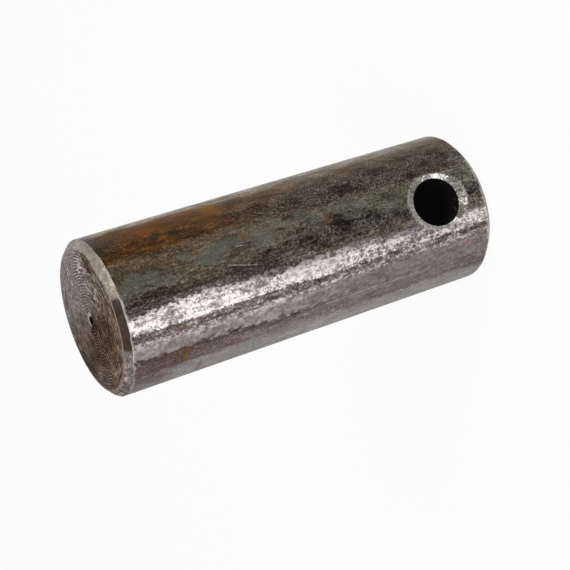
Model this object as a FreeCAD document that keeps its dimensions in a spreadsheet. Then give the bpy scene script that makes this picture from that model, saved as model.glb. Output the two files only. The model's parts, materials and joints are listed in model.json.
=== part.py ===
import FreeCAD, Part
import Sketcher
import math
import os

# A plain steel retaining pin, turned from round bar in one piece.
# The shank is cylindrical, and both of its ends are faced square and bevelled.
# A cross hole runs right through the shank near one end, and both of its mouths are countersunk.
# The plain end keeps the rings that the facing tool cut, and the small pit that it left in the middle.
# The origin is the centre of the end beside the cross hole, on which the pin stands.
# +Z runs along the shank towards the plain end, and X along the cross hole.

doc = FreeCAD.newDocument("RetainingPin")

# Driving dimensions, in millimetres and degrees
DIMENSIONS = [
    ("shank_diameter", 25.0),
    ("overall_length", 67.0),
    ("hole_end_bevel", 0.95),
    ("plain_end_bevel", 1.1),
    ("cross_hole_diameter", 8.0),
    ("cross_hole_height", 8.9),
    ("sink_mouth_diameter", 11.0),
    ("sink_angle", 90.0),
    ("sink_offset", 0.4),
    ("pit_diameter", 1.3),
    ("pit_depth", 0.8),
    ("ring_pitch", 0.45),
    ("ring_width", 0.3),
    ("ring_depth", 0.04),
    ("ring_inner_radius", 1.3),
    ("ring_rim_width", 0.9),
]

sizes = doc.addObject("Spreadsheet::Sheet", "Sizes")
for row, (name, value) in enumerate(DIMENSIONS, start=1):
    sizes.set(f"A{row}", name)
    sizes.set(f"B{row}", str(value))
    sizes.setAlias(f"B{row}", name)
doc.recompute()

# Expressions that more than one sketch uses
RADIUS = "Sizes.shank_diameter / 2"
LENGTH = "Sizes.overall_length"
PLAIN_FACE_RADIUS = "Sizes.shank_diameter / 2 - Sizes.plain_end_bevel"
SINK_HEIGHT = "Sizes.cross_hole_height + Sizes.sink_offset"

# How a sketch numbers its own axes and origin, and the points of a line or a circle
AXIS = {"level": -1, "upright": -2}
POINT = {"start": 1, "end": 2, "centre": 3}
SKETCH_ORIGIN = (AXIS["level"], POINT["start"])

pin = doc.addObject("PartDesign::Body", "Pin")
pin.Label = "pin"


def origin_feature(role):
    """One plane of the pin's own origin."""
    return next(f for f in pin.Origin.OriginFeatures if f.Role == role)


def sketch_on(role, name):
    """A new sketch on one of the pin's origin planes."""
    sketch = pin.newObject("Sketcher::SketchObject", name)
    sketch.AttachmentSupport = [(origin_feature(role), "")]
    sketch.MapMode = "FlatFace"
    return sketch


def drive(sketch, kind, label, expression, drawn, *geometry):
    """Adds one dimension to a sketch, at the size that was drawn, and binds it to the sheet."""
    index = sketch.addConstraint(Sketcher.Constraint(kind, *geometry, drawn))
    sketch.renameConstraint(index, label)
    sketch.setExpression(f"Constraints.{label}", expression)


def place(sketch, edge, point, label, across, up):
    """Ties a point to the sketch's origin by two expressions, where None puts it on the axis."""
    here = (edge, POINT[point])
    drawn = sketch.getPoint(*here)
    for kind, way, expression, axis, distance in (
        ("DistanceX", "across", across, "upright", drawn.x),
        ("DistanceY", "up", up, "level", drawn.y),
    ):
        if expression is None:
            sketch.addConstraint(Sketcher.Constraint("PointOnObject", *here, AXIS[axis]))
        else:
            drive(sketch, kind, f"{label}_{way}", expression, distance, *SKETCH_ORIGIN, *here)


def rough_point(i, across, up):
    """Where corner number i is first drawn: anywhere on its axes, because its dimensions move it."""
    return FreeCAD.Vector(0 if across is None else 1 + i, 0 if up is None else 1 + i * i, 0)


def add_outline(sketch, corners):
    """Draws a closed outline through named corners, each given as (across, up)."""
    points = [rough_point(i, *corner) for i, corner in enumerate(corners.values())]
    first = sketch.GeometryCount
    following = points[1:] + points[:1]
    for here, there in zip(points, following):
        sketch.addGeometry(Part.LineSegment(here, there), False)
    for i, (label, (across, up)) in enumerate(corners.items()):
        arriving = (first + (i - 1) % len(points), POINT["end"])
        leaving = (first + i, POINT["start"])
        sketch.addConstraint(Sketcher.Constraint("Coincident", *arriving, *leaving))
        place(sketch, first + i, "start", label, across, up)


def cut_round(name, sketch, axis):
    """Turns a sketch round one of its axes and cuts it from the pin."""
    groove = pin.newObject("PartDesign::Groove", name)
    groove.Profile = (sketch, [""])
    groove.ReferenceAxis = (sketch, [axis])
    groove.Angle = 360.0
    return groove


def settle(feature):
    """Recomputes the pin and stops the build if the feature took nothing away."""
    before = math.inf if pin.Shape.isNull() else pin.Shape.Volume
    doc.recompute()
    after = pin.Shape.Volume
    if not after < before:
        raise RuntimeError(f"{feature.Label} cut nothing")
    print(f"{feature.Label}: the pin now holds {after:.2f} mm3")


# Shank: half of the lengthwise section, with both bevels, turned round Z
section = sketch_on("XZ_Plane", "ShankSection")
add_outline(
    section,
    {
        "hole_face_centre": (None, None),
        "hole_face_rim": (f"{RADIUS} - Sizes.hole_end_bevel", None),
        "hole_end_shoulder": (RADIUS, "Sizes.hole_end_bevel"),
        "plain_end_shoulder": (RADIUS, f"{LENGTH} - Sizes.plain_end_bevel"),
        "plain_face_rim": (PLAIN_FACE_RADIUS, LENGTH),
        "plain_face_centre": (None, LENGTH),
    },
)
shank = pin.newObject("PartDesign::Revolution", "Shank")
shank.Profile = (section, [""])
shank.ReferenceAxis = (section, ["V_Axis"])
shank.Angle = 360.0
settle(shank)

# Cross hole: drilled right through, along X
hole_circle = sketch_on("YZ_Plane", "CrossHoleCircle")
hole_centre = FreeCAD.Vector(0, sizes.cross_hole_height, 0)
hole_bore = Part.Circle(hole_centre, FreeCAD.Vector(0, 0, 1), sizes.cross_hole_diameter / 2)
circle = hole_circle.addGeometry(hole_bore, False)
place(hole_circle, circle, "centre", "hole", None, "Sizes.cross_hole_height")
drive(
    hole_circle,
    "Diameter",
    "hole_diameter",
    "Sizes.cross_hole_diameter",
    sizes.cross_hole_diameter,
    circle,
)
cross_hole = pin.newObject("PartDesign::Pocket", "CrossHole")
cross_hole.Profile = (hole_circle, [""])
cross_hole.Type = "ThroughAll"
cross_hole.SideType = "Symmetric"
settle(cross_hole)

# Countersinks: one cone on each mouth of the hole, a little nearer the middle of the pin than the hole
sink_section = sketch_on("XZ_Plane", "SinkSection")
SINK_SLOPE = "tan(Sizes.sink_angle / 2 * 1 deg)"
add_outline(
    sink_section,
    {
        "tip": (f"{RADIUS} - Sizes.sink_mouth_diameter / 2 / {SINK_SLOPE}", SINK_HEIGHT),
        "outer_middle": (f"2 * {RADIUS}", SINK_HEIGHT),
        "outer_edge": (
            f"2 * {RADIUS}",
            f"{SINK_HEIGHT} + Sizes.sink_mouth_diameter / 2 + {RADIUS} * {SINK_SLOPE}",
        ),
    },
)
sink_axis = sink_section.addGeometry(
    Part.LineSegment(rough_point(0, None, SINK_HEIGHT), rough_point(1, RADIUS, SINK_HEIGHT)),
    True,
)
place(sink_section, sink_axis, "start", "axis_start", None, SINK_HEIGHT)
place(sink_section, sink_axis, "end", "axis_end", RADIUS, SINK_HEIGHT)
front_sink = cut_round("FrontSink", sink_section, "Axis0")
settle(front_sink)
both_sinks = pin.newObject("PartDesign::Mirrored", "BothSinks")
both_sinks.Originals = [front_sink]
both_sinks.MirrorPlane = (origin_feature("YZ_Plane"), [""])
pin.Tip = both_sinks
settle(both_sinks)

# Pit: the cone that is left at the very centre of the plain end
pit_section = sketch_on("XZ_Plane", "PitSection")
add_outline(
    pit_section,
    {
        "bottom": (None, f"{LENGTH} - Sizes.pit_depth"),
        "edge": ("Sizes.pit_diameter / 2", LENGTH),
        "middle": (None, LENGTH),
    },
)
pit = cut_round("CentrePit", pit_section, "V_Axis")
settle(pit)

# Facing rings: evenly spaced V grooves from near the pit out to the plain rim beside the bevel
plain_face_radius = sizes.shank_diameter / 2 - sizes.plain_end_bevel
last_ring_radius = plain_face_radius - sizes.ring_rim_width - sizes.ring_width
ring_count = 1 + math.floor((last_ring_radius - sizes.ring_inner_radius) / sizes.ring_pitch)
ring_section = sketch_on("XZ_Plane", "RingSection")
for i in range(ring_count):
    inner_edge = f"Sizes.ring_inner_radius + {i} * Sizes.ring_pitch"
    add_outline(
        ring_section,
        {
            f"ring{i}_inner": (inner_edge, LENGTH),
            f"ring{i}_bottom": (
                f"{inner_edge} + Sizes.ring_width / 2",
                f"{LENGTH} - Sizes.ring_depth",
            ),
            f"ring{i}_outer": (f"{inner_edge} + Sizes.ring_width", LENGTH),
        },
    )
rings = cut_round("FacingRings", ring_section, "V_Axis")
settle(rings)
print(f"{ring_count} facing rings")

# Every feature has to be sound before anything is written
for item in doc.Objects:
    if "Invalid" in item.State or "Error" in item.State:
        raise RuntimeError(f"{item.Label} did not compute: {item.State}")
if pin.Shape.isNull() or not pin.Shape.isValid() or len(pin.Shape.Solids) != 1:
    raise RuntimeError("the pin is not one sound solid")

os.makedirs("parts", exist_ok=True)
pin.Shape.exportStep("parts/pin.step")
box = pin.Shape.BoundBox
print(f"pin: {box.XLength:.2f} x {box.YLength:.2f} x {box.ZLength:.2f} mm")
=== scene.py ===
# %% [markdown]
# # A worn steel retaining pin
#
# The pin is a short length of round bar. It was cut off, faced and bevelled on both ends, and
# drilled across near one end. Its shank still carries the dark scale of the rolling mill, which is
# rubbed bright along one side and has begun to rust.
#
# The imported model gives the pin's size and its frame. Everything below is measured from it, so the
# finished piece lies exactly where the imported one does. Lengths are worked out in millimetres, in
# which a turner would think, and the finished mesh is brought to metres in one step.

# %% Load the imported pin
import json
import math
import random

import bmesh
import bpy
from mathutils import Matrix, Quaternion, Vector, noise

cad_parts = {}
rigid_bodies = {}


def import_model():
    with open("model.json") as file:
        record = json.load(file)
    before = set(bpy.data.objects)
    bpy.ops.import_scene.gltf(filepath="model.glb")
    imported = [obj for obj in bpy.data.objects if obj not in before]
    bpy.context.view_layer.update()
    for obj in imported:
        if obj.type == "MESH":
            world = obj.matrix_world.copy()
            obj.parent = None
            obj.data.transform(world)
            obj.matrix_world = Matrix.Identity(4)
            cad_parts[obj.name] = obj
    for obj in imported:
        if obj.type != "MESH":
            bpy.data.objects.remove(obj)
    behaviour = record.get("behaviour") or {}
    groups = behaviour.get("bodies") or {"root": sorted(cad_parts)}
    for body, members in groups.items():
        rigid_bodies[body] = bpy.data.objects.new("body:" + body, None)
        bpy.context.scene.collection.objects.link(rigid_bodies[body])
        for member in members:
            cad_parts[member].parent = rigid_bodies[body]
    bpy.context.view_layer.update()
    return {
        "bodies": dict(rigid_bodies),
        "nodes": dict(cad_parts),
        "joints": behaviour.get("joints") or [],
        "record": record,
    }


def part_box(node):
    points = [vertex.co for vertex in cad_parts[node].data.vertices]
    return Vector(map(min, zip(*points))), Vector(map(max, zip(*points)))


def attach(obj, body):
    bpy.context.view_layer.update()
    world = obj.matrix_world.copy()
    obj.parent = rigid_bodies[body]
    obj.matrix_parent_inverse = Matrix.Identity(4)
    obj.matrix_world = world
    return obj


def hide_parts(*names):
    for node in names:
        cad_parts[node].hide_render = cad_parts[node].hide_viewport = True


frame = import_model()
MM = 0.001

lowest, highest = (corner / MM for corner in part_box("pin"))
RADIUS = (highest.x - lowest.x) / 2
LENGTH = highest.z - lowest.z
cross_hole = next(mount for mount in frame["record"]["mounts"] if mount["name"] == "cross_hole")
HOLE_RADIUS = cross_hole["dims"]["r_mm"]
HOLE_HEIGHT = cross_hole["pos_m"][2] / MM
print(f"pin: radius {RADIUS:.2f} mm, length {LENGTH:.2f} mm")
print(f"cross hole: radius {HOLE_RADIUS:.2f} mm, {HOLE_HEIGHT:.2f} mm above the standing end")

# %% [markdown]
# ## The camera
#
# The pin stands on the end beside its hole, because it would roll on its side. The camera looks
# down on it past the plain end, and is rolled until the pin lies across the picture. A long lens
# far away would flatten the pin, so the lens and the distance are set together: this pair makes the
# near end as much larger than the far end as it should be.


# %% Place the camera
def placed(name, data):
    """An object of a mesh, a lamp or a camera, put into the scene."""
    thing = bpy.data.objects.new(name, data)
    bpy.context.scene.collection.objects.link(thing)
    return thing


CAMERA_PLACE = Vector((210.69, -22.75, 136.44))
CAMERA_AIM = Vector((-0.36, -4.09, 34.15))
CAMERA_ROLL = math.radians(108.27)
LENS = 92.08
SENSOR = 36.0

camera_data = bpy.data.cameras.new("camera")
camera_data.lens = LENS
camera_data.sensor_width = SENSOR
camera_data.clip_start = 0.01
camera = placed("camera", camera_data)
upright_view = (CAMERA_AIM - CAMERA_PLACE).to_track_quat("-Z", "Y")
camera.rotation_mode = "QUATERNION"
camera.rotation_quaternion = upright_view @ Quaternion((0, 0, 1), -CAMERA_ROLL)
camera.location = CAMERA_PLACE * MM
bpy.context.scene.camera = camera
print(f"camera {(CAMERA_PLACE - CAMERA_AIM).length:.0f} mm from its aim")

# %% [markdown]
# ## The body of the pin
#
# On the real pin the bar is turned, so its outline spun round the middle is the right start. The
# outline is drawn from the centre of the standing end, up the shank and back in over the plain end.
# Each corner gets a small rounding, as a turned edge has, and the long line of the shank gets many
# cuts, so that it can take dents later.

# %% Sizes of the bevels, the pit and the facing rings
HOLE_END_BEVEL = 0.95
PLAIN_END_BEVEL = 1.1
PLAIN_FACE_RADIUS = RADIUS - PLAIN_END_BEVEL
PIT_RADIUS = 0.65
PIT_DEPTH = 0.8
RING_PITCH = 0.45
RING_WIDTH = 0.3
RING_DEPTH = 0.04
RING_INNER_RADIUS = 1.3
RING_RIM_WIDTH = 0.9
last_ring_radius = PLAIN_FACE_RADIUS - RING_RIM_WIDTH - RING_WIDTH
RING_COUNT = 1 + math.floor((last_ring_radius - RING_INNER_RADIUS) / RING_PITCH)
print(f"{RING_COUNT} facing rings on the plain end")


# %% Draw the outline of half the pin
def facing_rings():
    """The grooves of the facing tool, from the rim inwards, as (radius, height)."""
    dice = random.Random(4)
    points = []
    for ring in reversed(range(RING_COUNT)):
        inner = RING_INNER_RADIUS + ring * RING_PITCH
        depth = RING_DEPTH * dice.uniform(0.6, 1.25)
        middle = inner + RING_WIDTH * dice.uniform(0.35, 0.65)
        points += [(inner + RING_WIDTH, LENGTH), (middle, LENGTH - depth), (inner, LENGTH)]
    return points


standing_end = [(0, 0), (RADIUS - HOLE_END_BEVEL, 0)]
shank_wall = [(RADIUS, HOLE_END_BEVEL), (RADIUS, LENGTH - PLAIN_END_BEVEL)]
plain_end = [(PLAIN_FACE_RADIUS, LENGTH)] + facing_rings()
pit = [(PIT_RADIUS, LENGTH), (PIT_RADIUS * 0.8, LENGTH - PIT_DEPTH * 0.35), (0, LENGTH - PIT_DEPTH)]
outline = standing_end + shank_wall + plain_end + pit
print(f"outline of {len(outline)} points")

# %% Spin a line of edges into a closed shape
MERGE_DISTANCE = 0.0005


def chain(piece, points):
    """Joins points into a line of edges, and gives its corners."""
    corners = [piece.verts.new(point) for point in points]
    for pair in zip(corners, corners[1:]):
        piece.edges.new(pair)
    return corners


def spin_round(piece, axis, steps):
    """Spins the line once round an axis through the middle, and closes the seam and the poles."""
    bmesh.ops.spin(
        piece,
        geom=piece.verts[:] + piece.edges[:],
        cent=(0, 0, 0),
        axis=axis,
        steps=steps,
        angle=math.tau,
        use_merge=True,
    )
    bmesh.ops.remove_doubles(piece, verts=piece.verts, dist=MERGE_DISTANCE)


print(f"points closer than {MERGE_DISTANCE} mm are merged")

# %% Spin the outline into the body
EDGE_ROUNDING = 0.07
SPIN_STEPS = 256
SHANK_CUTS = 150
BEVEL_CUTS = 3
BEVEL_RISE = (0.6, 2.0)
SHANK_RISE = (LENGTH / 2, LENGTH)


def cut_up(body, rise, cuts):
    """Cuts each line of the outline whose rise is in a given range of heights."""
    lowest_rise, highest_rise = rise
    lines = [
        edge
        for edge in body.edges
        if lowest_rise <= abs(edge.verts[0].co.z - edge.verts[1].co.z) < highest_rise
    ]
    bmesh.ops.subdivide_edges(body, edges=lines, cuts=cuts)


def turned_body():
    """The pin without its hole, spun from its outline, in millimetres."""
    body = bmesh.new()
    corners = chain(body, [(radius, 0, height) for radius, height in outline])
    bevel_corners = corners[1:5]
    bmesh.ops.bevel(
        body,
        geom=bevel_corners,
        affect="VERTICES",
        offset=EDGE_ROUNDING,
        offset_type="OFFSET",
        segments=2,
        profile=0.5,
        material=-1,
    )
    cut_up(body, BEVEL_RISE, BEVEL_CUTS)
    cut_up(body, SHANK_RISE, SHANK_CUTS)
    spin_round(body, (0, 0, 1), SPIN_STEPS)
    bmesh.ops.recalc_face_normals(body, faces=body.faces)
    return body


body = turned_body()
print(f"turned body: {len(body.faces)} faces")

# %% [markdown]
# ## Dents, streaks and a ragged edge
#
# Rolled bar isn't a perfect cylinder: the rolls leave shallow streaks along it, and scale that came
# off leaves small pits. The points of the shank are moved in and out by a noise that is stretched
# along the bar. The moves are hundredths of a millimetre, so the outline stays straight, but light
# that glances along the shank shows them. The edge between bevel and scale is ragged, so its points
# slide along the shank.

# %% Roll streaks and knock dents into a point
STREAK_DEPTH = 0.022
STREAK_WIDTH = 2.2
STREAK_LENGTH = 26
THREAD_WIDTH = 0.8
THREAD_LENGTH = 9
DENT_DEPTH = 0.05
DENT_SIZE = 1.1
DENT_RARITY = 0.42


def drawn_noise(point, width, length, shift):
    """Noise that is drawn out along the bar, from -1 to 1."""
    return noise.noise(Vector((point.x / width, point.y / width, point.z / length + shift)))


def streaks(point):
    """How deep the streaks are at a point of the shank, from 0 to 1."""
    broad = drawn_noise(point, STREAK_WIDTH, STREAK_LENGTH, 0)
    fine = drawn_noise(point, THREAD_WIDTH, THREAD_LENGTH, 7)
    return 0.5 + 0.35 * broad + 0.15 * fine


def dents(point):
    """How deep the small pits are at a point, from 0 to 1, and 0 on most of the pin."""
    spread = noise.noise(point / DENT_SIZE + Vector((31, 5, 0)))
    return max(0.0, spread - DENT_RARITY) / 0.5


print(f"streaks up to {STREAK_DEPTH} mm deep and dents up to {DENT_DEPTH} mm")

# %% Wear the body
RAGGED_EDGE = 0.12
RAGGED_REACH = 0.5


def wear(body):
    """Moves the points of the turned body as rolling, knocks and a blunt tool would."""
    for vertex in body.verts:
        point = vertex.co.copy()
        reach = math.hypot(point.x, point.y)
        if reach > RADIUS - 0.02:
            depth = STREAK_DEPTH * streaks(point) + DENT_DEPTH * dents(point)
            vertex.co.xy *= (RADIUS - depth) / reach
        away = abs(point.z - (LENGTH - PLAIN_END_BEVEL))
        near_shoulder = 1 - min(1, away / RAGGED_REACH)
        if near_shoulder > 0 and reach > RADIUS - 0.15:
            jag = noise.noise(point * 0.5) + 0.5 * noise.noise(point * 1.8)
            vertex.co.z += RAGGED_EDGE * near_shoulder * jag


wear(body)
print(f"edge behind the bevel ragged over {RAGGED_REACH} mm")

# %% [markdown]
# ## The cross hole and its countersinks
#
# The hole is drilled right through, and each mouth is countersunk by hand, a little off its centre.
# The hand-held tool chatters, so it leaves radial flats on the cone. The three tools are modelled as
# solids of their own and are taken away from the body. This way the saddle-shaped rim is cut
# exactly, and the chatter on the tool is cut into the pin.

# %% Shape a cutting tool
TOOL_STEPS = 144
CHATTER_DEPTH = 0.14
CHATTER_LOBES = 9


def chatter(cutter, depth, seed):
    """Waves the wall of a tool in and out round the X axis."""
    for vertex in cutter.verts:
        turn = math.atan2(vertex.co.z, vertex.co.y)
        side, top = CHATTER_LOBES * math.cos(turn), CHATTER_LOBES * math.sin(turn)
        reach = math.hypot(vertex.co.y, vertex.co.z)
        if reach > 0.1:
            vertex.co.yz *= 1 + depth * noise.noise(Vector((side, top, seed))) / reach


def tool(name, line, slot, height, chatter_depth=0.0):
    """A cutting tool at a height, spun round the X axis from a line of (place along X, radius)."""
    cutter = bmesh.new()
    chain(cutter, [(along, 0, radius) for along, radius in line])
    spin_round(cutter, (1, 0, 0), TOOL_STEPS)
    chatter(cutter, chatter_depth, line[0][0])
    bmesh.ops.translate(cutter, vec=(0, 0, height), verts=cutter.verts)
    bmesh.ops.recalc_face_normals(cutter, faces=cutter.faces)
    for face in cutter.faces:
        face.material_index = slot
    mesh = bpy.data.meshes.new(name)
    cutter.to_mesh(mesh)
    cutter.free()
    return placed(name, mesh)


print(f"a tool is spun in {TOOL_STEPS} steps")

# %% Make the drill and the two countersinks
SINK_MOUTH_RADIUS = 5.5
SINK_OFFSET = 0.4
SINK_REACH = 2.0
SINK_CUTS = 8
SCALE_SLOT, FACED_SLOT, SUNK_SLOT, BORE_SLOT = range(4)


def sink_outline(side):
    """The cone of one countersink: its tip on the axis, then its wide end past the shank."""
    tip = RADIUS - SINK_MOUTH_RADIUS
    wide = SINK_MOUTH_RADIUS + SINK_REACH
    steps = [wide * cut / SINK_CUTS for cut in range(SINK_CUTS + 1)]
    slope = [(side * (tip + step), step) for step in steps]
    return slope + [(side * (tip + wide), 0)]


drill_end = 2 * RADIUS
drill_wall = [(-drill_end, HOLE_RADIUS), (drill_end, HOLE_RADIUS)]
drill_outline = [(-drill_end, 0)] + drill_wall + [(drill_end, 0)]
sink_height = HOLE_HEIGHT + SINK_OFFSET
tools = [
    tool("drill", drill_outline, BORE_SLOT, HOLE_HEIGHT),
    tool("front_sink", sink_outline(1), SUNK_SLOT, sink_height, CHATTER_DEPTH),
    tool("back_sink", sink_outline(-1), SUNK_SLOT, sink_height, CHATTER_DEPTH),
]
print(f"tools: {', '.join(piece.name for piece in tools)}")

# %% Name the finishes of the pin, in the order of their slots
finishes = [
    bpy.data.materials.new(name)
    for name in ("mill_scale", "faced_steel", "countersunk_steel", "shaded_rusty_bore")
]
print("finishes:", [material.name for material in finishes])


# %% Cut the hole out of the body
def with_cuts(body, tools):
    """The body's mesh after each tool was taken away from it."""
    mesh = bpy.data.meshes.new("uncut_pin")
    body.to_mesh(mesh)
    for material in finishes:
        mesh.materials.append(material)
    blank = placed("uncut_pin", mesh)
    for piece in tools:
        cut = blank.modifiers.new(piece.name, "BOOLEAN")
        cut.operation = "DIFFERENCE"
        cut.solver = "EXACT"
        cut.object = piece
    seen = bpy.context.evaluated_depsgraph_get()
    result = bpy.data.meshes.new_from_object(blank.evaluated_get(seen))
    for piece in tools + [blank]:
        bpy.data.objects.remove(piece)
    return result


for face in body.faces:
    face.material_index = FACED_SLOT if abs(face.normal.z) > 0.3 else SCALE_SLOT
pin_mesh = with_cuts(body, tools)
body.free()
print(f"pin with its hole: {len(pin_mesh.polygons)} faces")

# %% Finish the mesh: smooth shading with crisp edges, in metres
SHARP_ANGLE = math.radians(26)


def finished(mesh):
    """Sharp edges stay crisp, the rest is shaded smooth, and millimetres become metres."""
    work = bmesh.new()
    work.from_mesh(mesh)
    bmesh.ops.remove_doubles(work, verts=work.verts, dist=MERGE_DISTANCE)
    for face in work.faces:
        face.smooth = True
    for edge in work.edges:
        edge.smooth = edge.is_manifold and edge.calc_face_angle(0) < SHARP_ANGLE
    bmesh.ops.transform(work, matrix=Matrix.Scale(MM, 4), verts=work.verts)
    triangles = sum(len(face.verts) - 2 for face in work.faces)
    open_edges = sum(not edge.is_manifold for edge in work.edges)
    work.to_mesh(mesh)
    work.free()
    return triangles, open_edges


triangles, open_edges = finished(pin_mesh)
pin_mesh.name = "worn_pin"
pin = placed("worn_pin", pin_mesh)
print(f"finished pin: {triangles} triangles, {open_edges} open edges")

# %% [markdown]
# ## Words for building a finish
#
# A finish is a chain of nodes, and each node asks for several lines of Python. Short helpers make
# the recipes below read like a list of layers. They come in four groups, and each adds its words to
# the one before: nodes, sums, patterns and colours. In each layer below, r is the recipe that the
# layer adds to. All patterns read the object's own coordinates, in millimetres, so that a size in a
# recipe is a size on the pin.


# %% Join the nodes of one material
class Nodes:
    """The nodes of one material, and the links between them."""

    def __init__(self, material):
        material.use_nodes = True
        self.nodes = material.node_tree.nodes
        self.links = material.node_tree.links
        self.shader = self.nodes["Principled BSDF"]

    def give(self, socket, value):
        """Joins a socket to another, or sets it to a plain value."""
        if isinstance(value, bpy.types.NodeSocket):
            self.links.new(value, socket)
        else:
            socket.default_value = value

    def node(self, kind, *values):
        """A new node, with its first inputs given."""
        node = self.nodes.new("ShaderNode" + kind)
        for socket, value in zip(node.inputs, values):
            self.give(socket, value)
        return node


print("first words: nodes")


# %% Work out sums with a place on the pin
class Sums(Nodes):
    """Simple sums, and where each point of the pin is, in millimetres."""

    def __init__(self, material):
        super().__init__(material)
        metres = self.node("TexCoord").outputs["Object"]
        to_mm = self.node("VectorMath", metres, (1 / MM,) * 3)
        to_mm.operation = "MULTIPLY"
        self.place = to_mm.outputs[0]
        self.x, self.y, self.z = self.node("SeparateXYZ", self.place).outputs[:3]

    def math(self, operation, *values, clamp=False):
        """One sum, product or other simple calculation."""
        node = self.node("Math", *values)
        node.operation = operation
        node.use_clamp = clamp
        return node.outputs[0]

    def row(self, operation, values):
        """One calculation that runs along a row of values."""
        result, *others = values
        for other in others:
            result = self.math(operation, result, other)
        return result

    def total(self, *values):
        """The sum of several values."""
        return self.row("ADD", values)

    def product(self, *values):
        """The product of several values."""
        return self.row("MULTIPLY", values)

    def highest(self, *values):
        """The largest of several values."""
        return self.row("MAXIMUM", values)

    def degrees_round(self, across, up):
        """The turn round an axis, in degrees."""
        return self.product(self.math("ARCTAN2", up, across), math.degrees(1))

    def distance(self, across, up):
        """How far a place is from an axis."""
        square = self.total(self.product(across, across), self.product(up, up))
        return self.math("SQRT", square)

    def oval(self, across, up, middle, half_size):
        """0 in the middle of an oval and 1 on its rim."""
        shares = []
        for value, centre, half in zip((across, up), middle, half_size):
            shares.append(self.math("MULTIPLY_ADD", value, 1 / half, -centre / half))
        return self.distance(*shares)


print("second words: sums")


# %% Make patterns
class Patterns(Sums):
    """Noise of a chosen size, and soft steps that turn it into patches."""

    def noise(self, size, detail=2.0, stretch=1.0, rough=0.5, shift=0.0, tilt=0.0):
        """Blotches as wide as the size, drawn out along the bar, or along a line tilted from it."""
        frame = self.node("Mapping", self.place)
        frame.vector_type = "TEXTURE"
        frame.inputs["Location"].default_value = (shift, shift * 0.7, shift * 1.3)
        frame.inputs["Rotation"].default_value = (math.radians(tilt), 0, 0)
        frame.inputs["Scale"].default_value = (size, size, size * stretch)
        return self.cloud(frame.outputs[0], detail, rough)

    def cloud(self, vector, detail=2.0, rough=0.5):
        """Noise that is read at a place of one's own making."""
        node = self.node("TexNoise", vector)
        node.inputs["Scale"].default_value = 1
        node.inputs["Detail"].default_value = detail
        node.inputs["Roughness"].default_value = rough
        return node.outputs[0]

    def sway(self, value, amount):
        """Turns noise, which stays near a half, into a swing of up to an amount about 0."""
        return self.math("MULTIPLY_ADD", value, 2.0 * amount, -1.0 * amount)

    def gain(self, value, strength):
        """A factor that is 1 where noise is at a half, and larger where it is higher."""
        return self.math("EXPONENT", self.math("MULTIPLY", self.sway(value, 1.0), strength))

    def step(self, value, start, end, low=0.0, high=1.0):
        """Rises softly from low to high while the value goes from start to end."""
        node = self.node("MapRange", value, start, end, low, high)
        node.interpolation_type = "SMOOTHSTEP"
        return node.outputs[0]

    def window(self, value, rise_from, rise_to, fall_from, fall_to):
        """1 between two limits and 0 outside them, with soft flanks."""
        rise = self.step(value, rise_from, rise_to)
        return self.product(rise, self.step(value, fall_from, fall_to, 1.0, 0.0))


print("third words: patterns")


# %% Name a colour
def light(tone):
    """A tone from 0 to 255, as a picture holds it, turned into its share of full light."""
    share = tone / 255
    if share <= 0.04045:
        return share / 12.92
    return ((share + 0.055) / 1.055) ** 2.4


def paint(red, green, blue):
    """A colour as a picture editor gives it, made ready for a shader."""
    return (light(red), light(green), light(blue), 1)


print("a middle grey gives", round(paint(128, 128, 128)[0], 2), "of full light")


# %% Lay colours and relief
class Recipe(Patterns):
    """All the words that a finish needs."""

    def mix(self, amount, under, over, mode="MIX"):
        """One colour laid over another. The node keeps its colours in inputs 6 and 7."""
        node = self.node("Mix")
        node.data_type = "RGBA"
        node.blend_type = mode
        for index, value in ((0, amount), (6, under), (7, over)):
            self.give(node.inputs[index], value)
        return node.outputs[2]

    def ramp(self, value, low, high, stops):
        """A colour that changes along a value, with stops given as {value: colour}."""
        line = self.node("MapRange", value, low, high)
        node = self.node("ValToRGB", line.outputs[0])
        elements = node.color_ramp.elements
        while len(elements) < len(stops):
            elements.new(0.5)
        for element, (at, colour) in zip(elements, sorted(stops.items())):
            element.position = (at - low) / (high - low)
            element.color = colour
        return node.outputs[0]

    def grey(self, value, low, high, stops):
        """A number that changes along a value, with stops given as {value: number}."""
        tones = {at: (number, number, number, 1) for at, number in stops.items()}
        return self.ramp(value, low, high, tones)

    def bump(self, height, depth, under=None):
        """Small relief that is too fine for the mesh, with its depth in millimetres."""
        node = self.node("Bump")
        node.inputs["Distance"].default_value = depth * MM
        self.give(node.inputs["Height"], height)
        if under is not None:
            self.give(node.inputs["Normal"], under)
        return node.outputs[0]

    def finish(self, colour, metal=0.0, rough=0.5, sheen=0.5, relief=None):
        """Hands what the layers made to the shader."""
        self.give(self.shader.inputs["Base Color"], colour)
        self.give(self.shader.inputs["Metallic"], metal)
        self.give(self.shader.inputs["Roughness"], rough)
        self.give(self.shader.inputs["Specular IOR Level"], sheen)
        if relief is not None:
            self.give(self.shader.inputs["Normal"], relief)


print("last words: colours and relief")
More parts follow.
